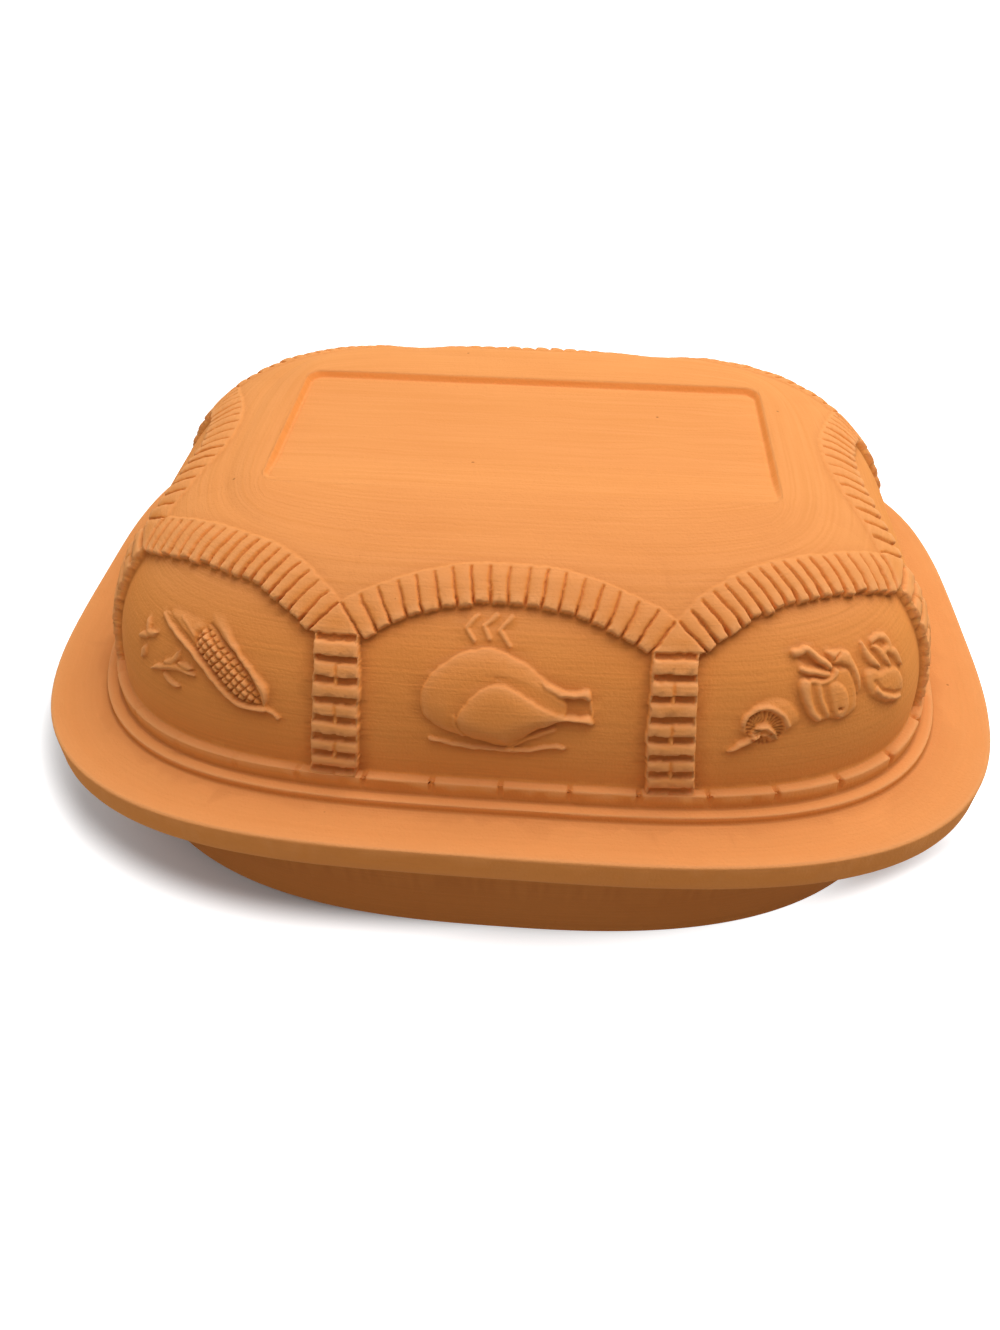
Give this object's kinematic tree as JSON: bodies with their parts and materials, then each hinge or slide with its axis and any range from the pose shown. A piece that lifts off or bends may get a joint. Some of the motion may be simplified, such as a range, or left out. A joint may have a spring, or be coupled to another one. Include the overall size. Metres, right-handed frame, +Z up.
{
  "type": "clay roaster",
  "caption": "Oval unglazed clay roaster: a domed lid with moulded brick arches and a wide flange, lifting off a deep baking dish.",
  "frame": {"origin": "centre of the dish's underside, on the surface it stands on", "axes": "+Z up, +X along the roaster's length, -Y towards the side that faces the picture's viewer"},
  "size_m": [0.4, 0.296, 0.1683],
  "materials": {
    "terracotta": "matte, unglazed, bare fired clay"
  },
  "bodies": {
    "base": {"base": "terracotta"},
    "lid": {"lid": "terracotta"}
  },
  "joints": [
    {"name": "lid_lift", "type": "slide", "parent": "base", "child": "lid", "axis": [0, 0, 1], "range_m": [0, 0.15]}
  ]
}
